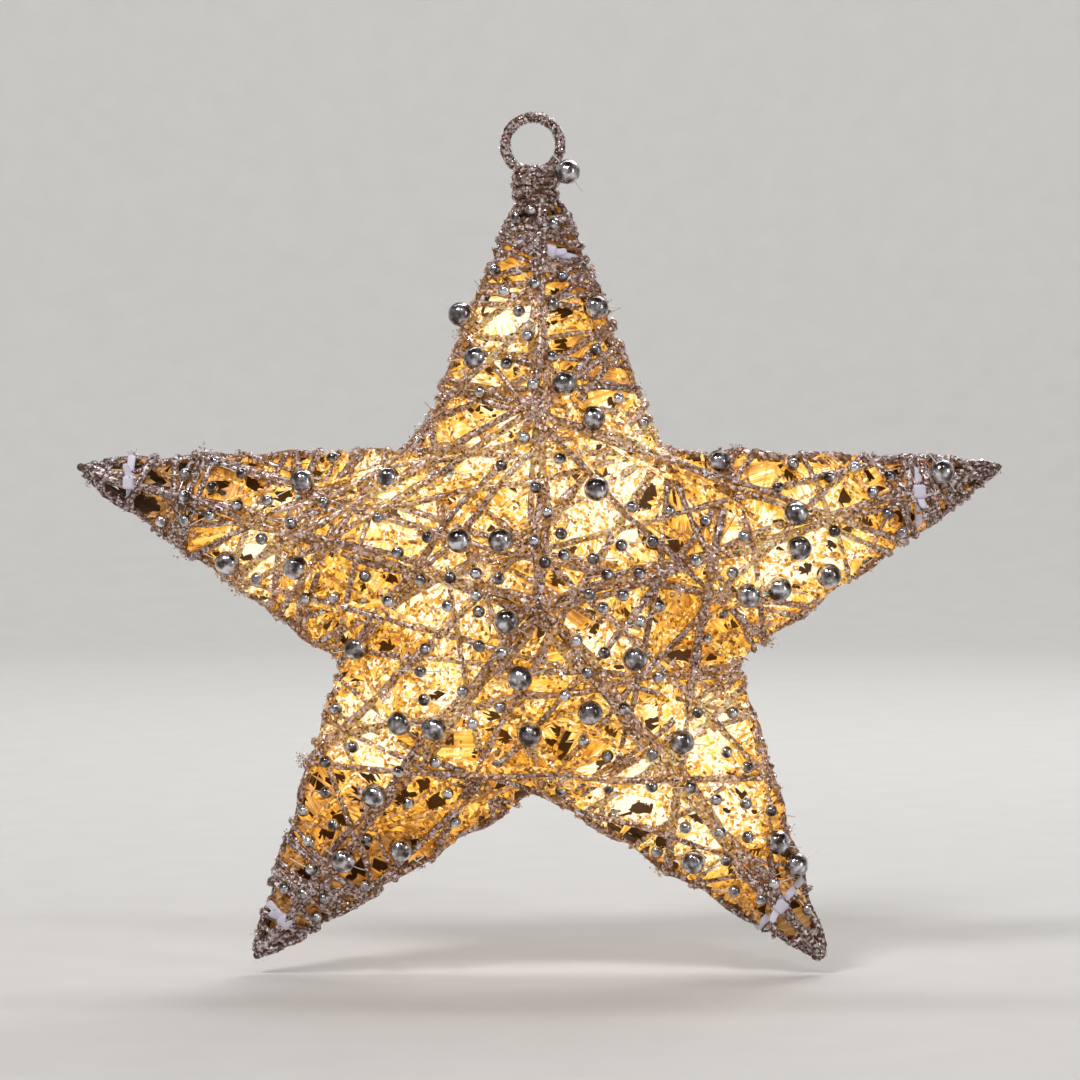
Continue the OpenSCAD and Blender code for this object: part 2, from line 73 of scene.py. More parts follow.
wire_low, wire_high = box_mm("outline_wire")
case_low, case_high = box_mm("battery_case")
WIRE_R = 1.3                     # outline wire's radius
ARM = math.radians(72)           # angle between two arms
HEIGHT = 0.91                    # the star's height against a regular one's
TIP = (wire_high[0] - wire_low[0] - 2 * WIRE_R) / 2 / math.sin(ARM)    # hub to tip
NOTCH = 0.41 * TIP               # hub to the corner between two arms
NOTCH_A, NOTCH_W = NOTCH * math.cos(ARM / 2), NOTCH * math.sin(ARM / 2)    # its a and t
SLOPE = (1 - NOTCH_A / TIP) / NOTCH_W     # how fast rise() falls across an arm
STEEP = math.hypot(1 / TIP, SLOPE)        # and along its steepest way
CX = (wire_low[0] + wire_high[0]) / 2     # the hub's place
CZ = wire_low[2] + WIRE_R + HEIGHT * TIP * math.cos(ARM / 2)
FRONT_DEPTH = 32.0               # outline to hub
BACK_DEPTH = 31.5
NECK_A = TIP - 13                # where the top arm's windings end
EDGE_OUT = 2.5                   # how far outside the outline a cord turns round


# ---------------------------------------------------------------- camera
AIM = Vector((0.0023, 0, -0.126))
DISTANCE = 1.25
ELEVATION = math.radians(2)
VIEW_WIDTH = 0.3456    # metres across the view at the star
camera = bpy.data.objects.new("camera", bpy.data.cameras.new("camera"))
scene.collection.objects.link(camera)
camera.location = AIM + DISTANCE * Vector((0, -math.cos(ELEVATION), math.sin(ELEVATION)))
camera.rotation_euler = (AIM - camera.location).to_track_quat("-Z", "Y").to_euler()
camera.data.sensor_width = 36
camera.data.lens = camera.data.sensor_width * DISTANCE / VIEW_WIDTH
scene.camera = camera


# ---------------------------------------------------------------- meshes
def mesh_object(name, verts, faces, material, slot, glow=None, tint=None, uv=None, smooth=True):
    """A piece of the star from points in mm. glow is the painted lamp glow and tint a colour at each
    point.
    """
    mesh = bpy.data.meshes.new(name)
    mesh.from_pydata((np.asarray(verts) * MM).tolist(), [], np.asarray(faces).tolist())
    if smooth:
        mesh.polygons.foreach_set("use_smooth", [True] * len(mesh.polygons))
    if glow is not None:
        mesh.attributes.new("glow", "FLOAT", "POINT").data.foreach_set(
            "value", np.asarray(glow, np.float32))
    if tint is not None:
        rgba = np.ones((len(verts), 4), np.float32)
        rgba[:, :3] = tint
        mesh.attributes.new("tint", "FLOAT_COLOR", "POINT").data.foreach_set("color", rgba.ravel())
    if uv is not None:
        index = np.zeros(len(mesh.loops), np.int32)
        mesh.loops.foreach_get("vertex_index", index)
        mesh.uv_layers.new(name="UVMap").data.foreach_set(
            "uv", np.asarray(uv, np.float32)[index].ravel())
    mesh.update()
    obj = bpy.data.objects.new(name, mesh)
    scene.collection.objects.link(obj)
    obj.data.materials.append(material)
    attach(obj, "star")
    return obj


def joined(parts):
    """One mesh from a list of (points, faces)."""
    starts = np.cumsum([0] + [len(verts) for verts, _ in parts[:-1]])
    return (np.concatenate([verts for verts, _ in parts]),
            np.concatenate([np.asarray(faces) + start for (_, faces), start in zip(parts, starts)]))


def unit(v):
    return v / np.maximum(np.linalg.norm(v, axis=-1, keepdims=True), 1e-9)


def tube(path, radius, sides, bump=None):
    """Points, faces and outward directions of a tube along a path."""
    n = len(path)
    t = unit(np.gradient(path, axis=0))
    first = np.array([0, 0, 1.0]) if abs(t[0][2]) < 0.8 else np.array([1.0, 0, 0])
    normals = np.zeros((n, 3))
    normal = unit(first - t[0] * (first @ t[0]))
    for i in range(n):
        normal = normal - t[i] * (normal @ t[i])
        normal = normal / max(math.sqrt(normal @ normal), 1e-9)
        normals[i] = normal
    sideways = np.cross(t, normals)
    around = np.linspace(0, 2 * math.pi, sides, endpoint=False)
    r = np.broadcast_to(np.asarray(radius, float).reshape(-1, 1), (n, sides)).copy()
    if bump is not None:
        r = r * bump
    out = (np.cos(around)[None, :, None] * normals[:, None]
           + np.sin(around)[None, :, None] * sideways[:, None])
    verts = (path[:, None] + r[..., None] * out).reshape(-1, 3)
    ring = np.arange(n - 1)[:, None] * sides
    j = np.arange(sides)[None, :]
    a, b = ring + j, ring + (j + 1) % sides
    quads = np.stack([a, b, b + sides, a + sides], -1).reshape(-1, 4)
    return verts, quads, out.reshape(-1, 3)


def islands(node):
    """Lowest and highest corner, in mm, of each separate solid of a CAD node."""
    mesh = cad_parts[node].data
    co = np.zeros(len(mesh.vertices) * 3)
    mesh.vertices.foreach_get("co", co)
    co = co.reshape(-1, 3) / MM
    _, same = np.unique(np.round(co, 3), axis=0, return_inverse=True)
    same = same.ravel()
    parent = list(range(same.max() + 1))

    def root(i):
        while parent[i] != i:
            parent[i] = parent[parent[i]]
            i = parent[i]
        return i
    for e in mesh.edges:
        p, q = root(same[e.vertices[0]]), root(same[e.vertices[1]])
        if p != q:
            parent[q] = p
    groups = {}
    for i, s in enumerate(same):
        groups.setdefault(root(s), []).append(i)
    boxes = [(co[g].min(0), co[g].max(0)) for g in groups.values()]
    return sorted(boxes, key=lambda b: tuple(np.round(b[0], 2)))


# ---------------------------------------------------------------- the lamps' painted glow
lamps = np.array([(low + high) / 2 for low, high in islands("led_bulbs")])


def smoothstep(x, low, high):
    s = np.clip((x - low) / (high - low), 0, 1)
    return s * s * (3 - 2 * s)


def glow_at(points):
    """How strongly the lamps light each place, for the painted glow: near 0 at the tips and over 1
    beside a lamp.
    """
    points = np.asarray(points, float)
    out = np.zeros(len(points))
    for lamp in lamps:
        d = np.linalg.norm((points - lamp) * [1, 0.62, 1], axis=1)
        out += 1.5 * np.exp(-(d / 11) ** 1.5) + 0.055 * np.exp(-d / 30)
    u, v = points[:, 0] - CX, (points[:, 2] - CZ) / HEIGHT
    fall = 1 - smoothstep(np.hypot(u, v) / TIP, 0.47, 1.06)
    return out * (0.4 + 0.6 * fall) + 0.26 * fall


# ---------------------------------------------------------------- the wound surface
def fold(u, v):
    """Distance along and across the nearest arm, and that arm's number."""
    angle = np.arctan2(u, v)
    k = np.round(angle / ARM)
    r = np.hypot(u, v)
    return r * np.cos(angle - k * ARM), r * np.sin(angle - k * ARM), k.astype(int) % 5


def rise(u, v):
    """1 at the hub, 0 on the outline, negative outside it."""
    a, t, _ = fold(u, v)
    return 1 - a / TIP - np.abs(t) * SLOPE


def tapered(a, offset):
    """The windings thin out towards an arm's tip."""
    return offset * np.clip(0.35 + (TIP - a) / 26, 0.35, 1)


def height_over(u, v, offset, depth):
    """Height of a cord's middle, offset mm above the frame's surface, at a place."""
    h = rise(u, v)
    offset = tapered(fold(u, v)[0], offset)
    outside = np.clip(-h / STEEP, 0, offset)
    inside = np.maximum(h, 0) * depth * (1 - 0.10 * np.clip(h, 0, 1)) + offset
    return np.where(h >= 0, inside, np.sqrt(np.maximum(offset ** 2 - outside ** 2, 0)))


def taut(h, share):
    """Lifts a height profile towards its upper hull, as a stretched cord bridges hollows."""
    n = len(h)
    keep = []
    for i in range(n):
        while len(keep) >= 2:
            p, q = keep[-2], keep[-1]
            if (h[q] - h[p]) * (i - p) <= (h[i] - h[p]) * (q - p):
                keep.pop()
            else:
                break
        keep.append(i)
    return h + share * (np.interp(np.arange(n), keep, h[keep]) - h)


def to_row(u, v, y):
    return np.stack([CX + u, y, CZ + HEIGHT * v], -1)


def arm_uv(k, a, t):
    s, c = math.sin(ARM * k), math.cos(ARM * k)
    return np.array([a * s + t * c, a * c - t * s])


def edge_point(k, side, a, out):
    """A place beside one edge of an arm, out mm outside the outline."""
    width = NOTCH_W * (TIP - a) / (TIP - NOTCH_A)
    out = tapered(a, out)
    return arm_uv(k, a + out / STEEP / TIP, side * (width + out * SLOPE / STEEP))


def reach(k):
    """How far along an arm the windings go."""
    return NECK_A if k == 0 else TIP - 0.8


def crosses_case(p, q):
    """Whether the line from p to q comes near the battery case."""
    s = np.linspace(0, 1, 24)[:, None]
    u, v = (p + (q - p) * s).T
    x, z = CX + u, CZ + HEIGHT * v
    pad = 3.5
    hit = (x > case_low[0] - pad) & (x < case_high[0] + pad)
    hit &= (z > case_low[2] - pad) & (z < case_high[2] + pad)
    return bool(hit.any())


def stays_inside(p, q):
    """Whether the line from p to q stays over the star."""
    s = np.linspace(0.03, 0.97, 30)[:, None]
    u, v = (p + (q - p) * s).T
    return bool((rise(u, v) > -0.3 * EDGE_OUT * STEEP).all())


def next_stop(k, side, a, front, crossing, stray):
    """Where a cord goes from a place on an arm's edge, as (arm, side, a)."""
    start = edge_point(k, side, a, EDGE_OUT)
    if rng.random() < crossing:
        for _ in range(24):
            k2, side2 = int(rng.integers(5)), int(rng.choice([-1, 1]))
            a2 = NOTCH_A + 1 + (reach(k2) - NOTCH_A) * rng.random() ** 1.6 * 0.8
            end = edge_point(k2, side2, a2, EDGE_OUT)
            length = np.linalg.norm(end - start)
            if (k2 == k and side2 == side) or length < 30:
                continue
            near_hub = abs(start[0] * end[1] - start[1] * end[0]) < 15 * length
            if near_hub and rng.random() < 0.75:
                continue
            if stays_inside(start, end) and (front or not crosses_case(start, end)):
                return k2, side2, a2
    spread = stray * (1 if rng.random() < 0.6 else 3.5)
    for _ in range(12):
        a2 = a + rng.normal() * spread
        if NOTCH_A + 1 < a2 < reach(k):
            return k, -side, a2
    return k, -side, float(np.clip(a, NOTCH_A + 2, reach(k) - 1))


def chord(start, end, front, offset, step):
    """Points of one pass of cord over a face, from outline to outline."""
    length = np.linalg.norm(end - start)
    n = max(7, int(length / step))
    s = np.linspace(0, 1, n)
    s = 0.55 * s + 0.45 * (0.5 - 0.5 * np.cos(math.pi * s))
    across = np.array([end[1] - start[1], start[0] - end[0]]) / max(length, 1e-6)
    bow = rng.normal() * 0.022 * length
    wave = rng.normal() * 0.5
    turn = rng.random() * 6.3
    lateral = bow * np.sin(math.pi * s) + wave * np.sin(math.pi * s) * np.sin(
        turn + s * length / 7)
    uv = start + (end - start) * s[:, None] + across * lateral[:, None]
    h = height_over(uv[:, 0], uv[:, 1], offset, FRONT_DEPTH if front else BACK_DEPTH)
    h = taut(h, 0.6)
    y = -h if front else h
    y[0] = y[-1] = 0
    return to_row(uv[:, 0], uv[:, 1], y)


def wind(k, a, passes, offset, crossing, step, stray=7.5):
    """One cord wound pass after pass over the front and the back, from a on arm k.

    offset is its height over the frame, crossing the share of passes that go to another arm,
    step the distance between its points, and stray how far a pass slips along its arm."""
    side = int(rng.choice([-1, 1]))
    front = bool(rng.random() < 0.5)
    points = []
    for _ in range(passes):
        layer = offset + rng.normal() * 0.35
        k2, side2, a2 = next_stop(k, side, a, front, crossing, stray)
        start = edge_point(k, side, a, offset)
        end = edge_point(k2, side2, a2, offset)
        part = chord(start, end, front, max(layer, 0.4), step)
        points.append(part if not points else part[1:])
        k, side, a = k2, side2, a2
        front = not front
    path = np.concatenate(points)
    ends = path[[0, -1]]
    inwards = to_row(0.93 * (ends[:, 0] - CX), 0.93 * (ends[:, 2] - CZ) / HEIGHT, np.zeros(2))
    return np.concatenate([inwards[:1], path, inwards[1:]])


def smooth_noise(n, spacing, size):
    """n random values that change over about spacing of them."""
    knots = rng.normal(size=max(4, int(n / spacing) + 3)) * size
    return np.interp(np.linspace(0, len(knots) - 1, n), np.arange(len(knots)), knots)


# ---------------------------------------------------------------- materials
def node_material(name):
    material = bpy.data.materials.new(name)
    material.use_nodes = True
    tree = material.node_tree
    return material, tree, tree.nodes["Principled BSDF"]


def add(tree, kind, **values):
    node = tree.nodes.new(kind)
    for key, value in values.items():
        setattr(node, key, value)
    return node


def ramp(tree, source, stops):
    node = add(tree, "ShaderNodeValToRGB")
    elements = node.color_ramp.elements
    while len(elements) < len(stops):
        elements.new(0.5)
    for element, (place, colour) in zip(elements, stops):
        element.position = place
        element.color = (*colour, 1)
    tree.links.new(source, node.inputs["Fac"])
    return node.outputs["Color"]


def math_node(tree, operation, a, b):
    node = add(tree, "ShaderNodeMath", operation=operation)
    for socket, value in zip(node.inputs, (a, b)):
        if isinstance(value, (int, float)):
            socket.default_value = value
        else:
            tree.links.new(value, socket)
    return node.outputs[0]


def multiply(tree, a, b):
    node = add(tree, "ShaderNodeMix", data_type="RGBA", blend_type="MULTIPLY")
    node.inputs["Factor"].default_value = 1.0
    tree.links.new(a, node.inputs["A"])
    tree.links.new(b, node.inputs["B"])
    return node.outputs["Result"]


def map_range(tree, value, to, source=(0.0, 1.0)):
    node = add(tree, "ShaderNodeMapRange")
    node.inputs["From Min"].default_value, node.inputs["From Max"].default_value = source
    node.inputs["To Min"].default_value, node.inputs["To Max"].default_value = to
    tree.links.new(value, node.inputs["Value"])
    return node.outputs["Result"]


def attribute(tree, name):
    return add(tree, "ShaderNodeAttribute", attribute_name=name)


def object_point(tree):
    return add(tree, "ShaderNodeTexCoord").outputs["Object"]


def grey_ramp(tree, source, low, high):
    return ramp(tree, source, [(0.3, (low,) * 3), (0.7, (high,) * 3)])


def noise(tree, scale, detail=3, vector=None):
    node = add(tree, "ShaderNodeTexNoise")
    node.inputs["Scale"].default_value = scale
    node.inputs["Detail"].default_value = detail
    tree.links.new(vector or object_point(tree), node.inputs["Vector"])
    return node.outputs["Fac"]


def bump(tree, shader, height, strength, distance):
    node = add(tree, "ShaderNodeBump")
    node.inputs["Strength"].default_value = strength
    node.inputs["Distance"].default_value = distance
    tree.links.new(height, node.inputs["Height"])
    tree.links.new(node.outputs["Normal"], shader.inputs["Normal"])


# painted lamp glow: unlit, brown, amber, gold, yellow, and nearly white beside a lamp
GLOW_STOPS = [(0.0, (0.02, 0.006, 0.001)), (0.2, (0.36, 0.13, 0.012)), (0.42, (0.88, 0.40, 0.03)),
              (0.64, (1.0, 0.64, 0.10)), (0.84, (1.0, 0.83, 0.32)), (1.0, (1.0, 0.97, 0.8))]


def lit(tree, shader, gain, strength, texture=None):
    """Painted light: emission that stands in for the light the lamps send through or onto a piece,
    from its glow attribute.
    """
    level = math_node(tree, "MULTIPLY", attribute(tree, "glow").outputs["Fac"], gain)
    if texture is not None:
        level = math_node(tree, "MULTIPLY", level, texture)
    tree.links.new(ramp(tree, level, GLOW_STOPS), shader.inputs["Emission Color"])
    shader.inputs["Emission Strength"].default_value = strength


def glitter_material(name, metallic, gain, strength, cell):
    """Cord crusted with glitter: each flake has its own tilt and shade, and the lamps' light on it
    is painted as glow, with painted glints on some flakes.
    """
    material, tree, shader = node_material(name)
    cells = add(tree, "ShaderNodeTexVoronoi", feature="F1")
    cells.inputs["Scale"].default_value = cell
    tree.links.new(object_point(tree), cells.inputs["Vector"])
    shade = add(tree, "ShaderNodeSeparateColor")
    tree.links.new(cells.outputs["Color"], shade.inputs["Color"])
    flakes = ramp(tree, shade.outputs["Red"], [
        (0.0, (0.030, 0.014, 0.008)), (0.42, (0.15, 0.090, 0.070)), (0.64, (0.34, 0.28, 0.28)),
        (0.84, (0.56, 0.51, 0.54)), (1.0, (0.97, 0.95, 1.0))])
    tint = attribute(tree, "tint").outputs["Color"]
    tree.links.new(multiply(tree, flakes, tint), shader.inputs["Base Color"])
    shader.inputs["Metallic"].default_value = metallic
    rough = map_range(tree, shade.outputs["Green"], (0.22, 0.6))
    tree.links.new(rough, shader.inputs["Roughness"])
    bump(tree, shader, shade.outputs["Blue"], 0.9, 0.0006)
    # painted glints: some flakes take more of the painted lamp glow
    painted_glint = math_node(tree, "MULTIPLY", math_node(tree, "POWER", shade.outputs["Green"], 1.6), 1.7)
    painted_glint = math_node(tree, "ADD", painted_glint, 0.22)
    lit(tree, shader, gain, strength, painted_glint)
    return material


def flake_material():
    """Loose glitter: small foil flakes, each with its own colour and a little painted lamp glow."""
    material, tree, shader = node_material("glitter_flakes")
    tree.links.new(attribute(tree, "tint").outputs["Color"], shader.inputs["Base Color"])
    shader.inputs["Metallic"].default_value = 0.9
    tree.links.new(grey_ramp(tree, noise(tree, 900), 0.12, 0.34), shader.inputs["Roughness"])
    lit(tree, shader, 0.3, 0.3)
    return material


def straw_material():
    """Split straw and film: long fibres that the lamps shine through, with that light painted as
    glow along the fibres and in patches.
    """
    material, tree, shader = node_material("split_straw")
    coords = add(tree, "ShaderNodeTexCoord")
    mapping = add(tree, "ShaderNodeMapping")
    mapping.inputs["Scale"].default_value = (1, 0.06, 1)
    tree.links.new(coords.outputs["UV"], mapping.inputs["Vector"])
    fibre = noise(tree, 0.8, 3, mapping.outputs["Vector"])
    blotch = noise(tree, 190, 2)
    straw = ramp(tree, fibre, [(0.30, (0.20, 0.09, 0.02)), (0.5, (0.46, 0.26, 0.08)),
                               (0.7, (0.70, 0.48, 0.20))])
    tint = attribute(tree, "tint").outputs["Color"]
    tree.links.new(multiply(tree, straw, tint), shader.inputs["Base Color"])
    shader.inputs["Roughness"].default_value = 0.42
    # painted light through the straw: stronger along some fibres and in patches
    streaks = map_range(tree, fibre, (0.5, 1.4), (0.33, 0.68))
    patches = map_range(tree, blotch, (0.55, 1.3), (0.35, 0.65))
    bump(tree, shader, fibre, 0.6, 0.0006)
    lit(tree, shader, 1.4, 1.0, math_node(tree, "MULTIPLY", streaks, patches))
    return material


def bead_material():
    """Blotchy mirror film over plastic."""
    material, tree, shader = node_material("mirror_bead")
    film = noise(tree, 330, 2)
    tree.links.new(ramp(tree, film, [(0.36, (0.09, 0.066, 0.055)), (0.49, (0.33, 0.30, 0.31)),
                                     (0.62, (0.86, 0.84, 0.87))]), shader.inputs["Base Color"])
    tree.links.new(grey_ramp(tree, noise(tree, 1100), 0.07, 0.2), shader.inputs["Roughness"])
    shader.inputs["Metallic"].default_value = 1.0
    bump(tree, shader, film, 0.5, 0.0006)
    return material


def plain_material(name, colour, roughness, metallic=0.0, grain=900, depth=0.00005, vary=0.12,
                   emission=None, strength=0.0):
    """A surface with fine grain in its colour, roughness and bump."""
    material, tree, shader = node_material(name)
    fine = noise(tree, grain)
    broad = noise(tree, 45, 4)
    dark = tuple(c * (1 - vary) for c in colour)
    light = tuple(min(1, c * (1 + vary)) for c in colour)
    tree.links.new(ramp(tree, broad, [(0.3, dark), (0.7, light)]), shader.inputs["Base Color"])
    low, high = max(0.02, roughness - 0.07), min(1, roughness + 0.07)
    tree.links.new(grey_ramp(tree, fine, low, high), shader.inputs["Roughness"])
    shader.inputs["Metallic"].default_value = metallic
    if emission:
        shader.inputs["Emission Color"].default_value = (*emission, 1)
        shader.inputs["Emission Strength"].default_value = strength
    bump(tree, shader, fine, 0.35, depth)
    return material


# the inner cord's glitter is painted with more of the lamp glow than the outer's
OUTER = glitter_material("outer_cord", 0.5, 0.4, 0.5, 1250)
INNER = glitter_material("inner_cord", 0.25, 1.05, 1.0, 1000)
FLAKES = flake_material()
STRAW = straw_material()
# painted shade for the gaps in the straw: a dark sheet where there is only shade
GAP_SHADE = plain_material("painted_gap_shade", (0.075, 0.042, 0.024), 0.75, grain=500, depth=0.0003,
                      vary=0.4)
BEAD = bead_material()
LINE = plain_material("nylon_line", (0.86, 0.78, 0.66), 0.18, grain=600)
WIRE = plain_material("frame_wire", (0.13, 0.085, 0.055), 0.45, 0.6)
TIE = plain_material("tie_nylon", (0.70, 0.66, 0.78), 0.42, grain=1400)
LAMP = plain_material("lamp_cap", (1.0, 0.86, 0.62), 0.3, emission=(1.0, 0.86, 0.58),
                      strength=5.0)
# the sockets' emission is painted light from their bulbs
SOCKET = plain_material("lamp_socket", (0.86, 0.80, 0.68), 0.35, emission=(1.0, 0.62, 0.22),
                        strength=0.5)
STRING = plain_material("string_insulation", (0.62, 0.40, 0.16), 0.25)
RUBBER = plain_material("grommet_rubber", (0.03, 0.03, 0.03), 0.7)
CASE = plain_material("case_plastic", (0.60, 0.56, 0.49), 0.5, grain=1600, depth=0.0001,
                      vary=0.05)
BLACK = plain_material("black_plastic", (0.02, 0.02, 0.02), 0.45)
STEEL = plain_material("zinc_steel", (0.60, 0.60, 0.62), 0.3, 1.0)
NICKEL = plain_material("nickel_plate", (0.66, 0.62, 0.56), 0.26, 1.0)
BOARD = plain_material("solder_mask", (0.02, 0.16, 0.06), 0.3)
CELL = plain_material("cell_wrap", (0.05, 0.11, 0.26), 0.28, 0.5)

# ---------------------------------------------------------------- CAD nodes that stay
KEPT = {
    WIRE: ["outline_wire", "front_ribs", "back_ribs", "box_cradle"],
    LAMP: ["led_bulbs"], SOCKET: ["led_sockets"], STRING: ["string_wire"],
    RUBBER: ["lead_grommet"], CASE: ["battery_case", "battery_cover", "switch_deck"],
    STEEL: ["deck_screws", "switch_body"], BLACK: ["switch_slider", "timer_chip"],
    BOARD: ["timer_board"], CELL: ["battery_cells"],
    NICKEL: ["contact_plates", "contact_springs"]}
for material, names in KEPT.items():
    for name in names:
        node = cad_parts[name]
        node.data.materials.clear()
        node.data.materials.append(material)


# ---------------------------------------------------------------- cords
laid = []    # the path of every cord so far


def cord_piece(name, paths, radius, sides, material, lumps, colour, replaces=()):
    """Joins cords into one piece, and returns its points with their outward directions."""
    parts, outs, glows, tints = [], [], [], []
    laid.extend(paths)
    for path in paths:
        n = len(path)
        r = (rng.uniform(1 - lumps, 1 + lumps) * radius
             * (1 + np.clip(smooth_noise(n, 3, 0.8 * lumps), -0.35, 0.5)))
        r[0] = r[-1] = 0.35 * radius
        lump = 1 + lumps * rng.uniform(-1, 1, size=(n, sides))
        verts, faces, out = tube(path, r, sides, lump)
        parts.append((verts, faces))
        outs.append(out)
        shade = np.repeat(1 + np.clip(smooth_noise(n, 6, 0.14), -0.3, 0.3), sides)
        tints.append(shade[:, None] * np.array(colour))
        # painted lamp glow, varied from cord to cord and along each
        glows.append(np.repeat(rng.uniform(0.7, 1.2) * (1 + smooth_noise(n, 5, 0.25)), sides))
    verts, faces = joined(parts)
    glows = glow_at(verts) * np.clip(np.concatenate(glows), 0.3, 1.8)
    obj = mesh_object(name, verts, faces, material, "glitter_cord", glow=glows,
                      tint=np.concatenate(tints))
    if replaces:
        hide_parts(*replaces)
    return verts, np.concatenate(outs)


ARM_NAMES = ["top", "right", "lower_right", "lower_left", "left"]
GOLD = (1.0, 0.74, 0.42)
surface = []    # points and outward directions of each outer cord piece, for the glitter
for k, arm in enumerate(ARM_NAMES):
    span = reach(k) - NOTCH_A
    outer = [wind(k, NOTCH_A + 8 + (span - 14) * (i + 0.5) / 2, passes=11, offset=3.0,
                  crossing=0.25, step=1.4, stray=12) for i in range(2)]
    # the tip's own windings, fewer on the top arm
    outer.append(wind(k, reach(k) - 6, passes=7 if arm == "top" else 11, offset=2.7,
                      crossing=0, step=1.2, stray=3.5))
    outer.append(wind(k, reach(k) - 18, passes=4 if arm == "top" else 7, offset=3.0,
                      crossing=0, step=1.3, stray=6))
    surface.append(cord_piece("outer_cord_" + arm, outer, 1.05, 7, OUTER, 0.22, (1, 1, 1),
                              ["thread_wrap_" + arm]))
    inner = [wind(k, NOTCH_A + 6 + (span - 12) * (i + 0.5) / 4, passes=8, offset=1.7,
                  crossing=0.4, step=1.25, stray=16) for i in range(4)]
    cord_piece("inner_cord_" + arm, inner, 1.05, 6, INNER, 0.34, GOLD)
body_outer = [wind(k, NOTCH_A + 3, passes=7, offset=3.4, crossing=0.97, step=1.5)
              for k in range(5)]
body_surface = cord_piece("outer_cord_body", body_outer, 1.25, 7, OUTER, 0.22,
                          (0.95, 0.93, 0.95), ["front_web", "back_web"])
body_inner = [wind(k, NOTCH_A + 4, passes=9, offset=1.4, crossing=0.93, step=1.4)
              for k in range(5) for _ in range(2)]
cord_piece("inner_cord_body", body_inner, 1.0, 6, INNER, 0.34, GOLD)

# the five front ridges and the edges carry cord of their own
ridges = []
for k in range(5):
    for j in range(3):
        a = np.linspace(-3, reach(k), 70)
        t = (j - 1) * 1.7 * np.clip((TIP - a) / 40, 0, 1) + 0.9 * np.sin(a / 8 + 2 * j + k)
        u, v = np.array([arm_uv(k, x, y) for x, y in zip(a, t)]).T
        y = -height_over(u, v, 2.7 + 0.5 * j, FRONT_DEPTH)
        ridges.append(to_row(u, v, y))
    for side in (-1, 1):
        a = np.linspace(NOTCH_A - 1, reach(k), 50)
        uv = np.array([edge_point(k, side, x, 1.7 + 0.8 * math.sin(x / 4 + k)) for x in a])
        y = 1.9 * np.sin(a / 5 + k + side) * np.clip((TIP - a) / 30, 0.15, 1)
        ridges.append(to_row(uv[:, 0], uv[:, 1], y))
ridge_surface = cord_piece("ridge_cord", ridges, 1.25, 7, OUTER, 0.2, (0.9, 0.86, 0.86))
surface += [body_surface, ridge_surface]

# ---------------------------------------------------------------- hanging loop and its neck
LOOP_R = 8.8
f = np.radians(np.linspace(-62, 242, 90))
ring = np.stack([LOOP_R * np.cos(f), 0.25 * np.sin(3 * f), LOOP_R * np.sin(f)], -1)
legs = np.array([[1.2, 0.6, -16.5], [2.0, 0.5, -13.0], [3.2, 0.3, -10.2]])
path = np.concatenate([legs, ring, (legs * [-0.6, -1, 1])[::-1]])
loop_surface = cord_piece("loop_cord", [path], 1.6, 14, OUTER, 0.04, (1.0, 0.86, 0.80),
                          ["hanging_loop", "loop_sleeve"])
coils = []
for j, (radius, low, high, turns) in enumerate([(6.1, -17.0, -10.5, 3.3), (6.7, -12.8, -6.6, 3.2),
                                                (5.4, -21.0, -15.0, 2.6)]):
    f = np.linspace(0, turns * 2 * math.pi, int(turns * 26)) + 1.1 * j
    wobble = radius + 0.5 * np.sin(2.3 * f + j)
    coils.append(np.stack([CX - 1 + wobble * np.cos(f), 0.9 * wobble * np.sin(f),
                           np.linspace(low, high, len(f)) + 0.5 * np.sin(f * 1.7)], -1))
neck_surface = cord_piece("neck_cord", coils, 1.15, 8, OUTER, 0.14, (0.95, 0.86, 0.82),
                          ["neck_binding"])


# ---------------------------------------------------------------- glitter flakes on the cords
def flakes(name, count, low, high, sources, spread, clump=1, scatter=0.15):
    """Small flat diamonds, low to high mm across, on the cords. clump of them share a place."""
    verts = np.concatenate([s[0] for s in sources])
    outs = np.concatenate([s[1] for s in sources])
    pick = np.repeat(rng.integers(len(verts), size=count // clump), clump)
    count = len(pick)
    centre = verts[pick] + 0.12 * outs[pick] + rng.normal(size=(count, 3)) * scatter
    normal = unit(outs[pick] + spread * rng.normal(size=(count, 3)))
    first = unit(np.cross(normal, rng.normal(size=(count, 3))))
    second = np.cross(normal, first)
    size = rng.uniform(low, high, size=(count, 1)) / 2
    corners = [centre + size * first, centre + 0.85 * size * second,
               centre - size * first, centre - 0.85 * size * second]
    points = np.stack(corners, 1).reshape(-1, 3)
    faces = np.arange(4 * count).reshape(-1, 4)
    kind = rng.random(count)
    colour = np.ones((count, 3)) * rng.uniform(0.45, 1.0, size=(count, 1))
    colour *= np.where(kind[:, None] < 0.3, [[0.92, 0.74, 0.60]], [[0.97, 0.95, 1.0]])
    rare = [(0.985, [0.15, 0.85, 0.85]), (0.989, [0.45, 0.9, 0.2]), (0.993, [0.75, 0.4, 0.95]),
            (0.997, [0.95, 0.35, 0.55])]
    for limit, shade in rare:
        colour[kind > limit] = shade
    # each flake carries the painted lamp glow
    mesh_object(name, points, faces, FLAKES, "glitter_cord",
                glow=glow_at(points), tint=np.repeat(colour, 4, axis=0), smooth=False)


flakes("glitter_fine", 62000, 0.4, 0.8, surface + [loop_surface, neck_surface], 0.38)
flakes("glitter_coarse", 5200, 0.8, 1.3, surface, 0.5)
flakes("glitter_clumps", 26000, 0.5, 1.1, [body_surface], 0.9, clump=110, scatter=1.3)
flakes("glitter_ridge_clumps", 9000, 0.4, 0.9, [ridge_surface], 0.9, clump=90, scatter=0.8)


